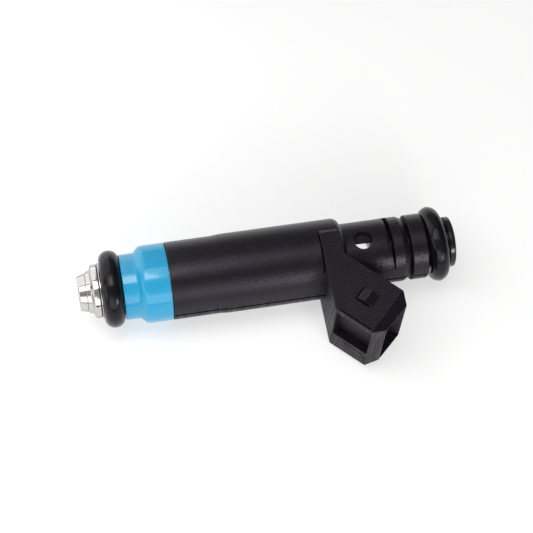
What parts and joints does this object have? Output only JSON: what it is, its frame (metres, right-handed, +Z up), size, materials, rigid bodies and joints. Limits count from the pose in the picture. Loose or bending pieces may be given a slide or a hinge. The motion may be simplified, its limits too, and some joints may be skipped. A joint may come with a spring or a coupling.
{
  "type": "fuel injector",
  "caption": "Slim fuel injector: steel nozzle, blue collar and dark moulded body between rubber O-rings, a slanted electrical plug socket on its side and a sprung ball valve inside.",
  "frame": {"origin": "centre of the bounding box at floor level, the injector lying on its side", "axes": "+X along the injector axis from nozzle to fuel-rail end, connector toward -Y, +Z up"},
  "size_m": [0.0702, 0.0272, 0.0172],
  "materials": {
    "black_plastic": "matte glass-filled nylon, fine speckle",
    "gloss_black_plastic": "smooth glossy black nylon",
    "blue_plastic": "glossy sky-blue nylon",
    "rubber": "black fluorocarbon rubber, slight sheen",
    "stainless": "polished stainless steel",
    "soft_iron": "plain magnetic steel",
    "copper": "enamelled copper wire",
    "tinned_brass": "tin-plated brass",
    "natural_nylon": "natural nylon",
    "nylon_mesh": "woven nylon gauze"
  },
  "bodies": {
    "injector": {"overmold_body": "black_plastic", "nozzle_sleeve": "blue_plastic", "lower_o_ring": "rubber", "upper_o_ring": "rubber", "o_ring_washer": "stainless", "filter_cap": "gloss_black_plastic", "inlet_tube": "stainless", "filter_frame": "natural_nylon", "filter_mesh": "nylon_mesh", "calibration_sleeve": "stainless", "return_spring": "stainless", "nonmagnetic_shell": "stainless", "coil_bobbin": "natural_nylon", "coil_winding": "copper", "coil_can": "soft_iron", "flux_washer": "soft_iron", "valve_body": "stainless", "valve_seat": "stainless", "needle_guide": "stainless", "orifice_plate": "stainless", "backup_ring": "stainless", "terminal_near": "tinned_brass", "terminal_far": "tinned_brass"},
    "valve_needle": {"armature": "soft_iron", "needle_tube": "stainless", "valve_ball": "stainless"}
  },
  "joints": [
    {"name": "needle_lift", "type": "slide", "parent": "injector", "child": "valve_needle", "axis": [1, 0, 0], "range_m": [0, 0.0001], "stiffness_N_per_m": 200, "springref_m": -0.004, "deforming": ["return_spring"]}
  ]
}
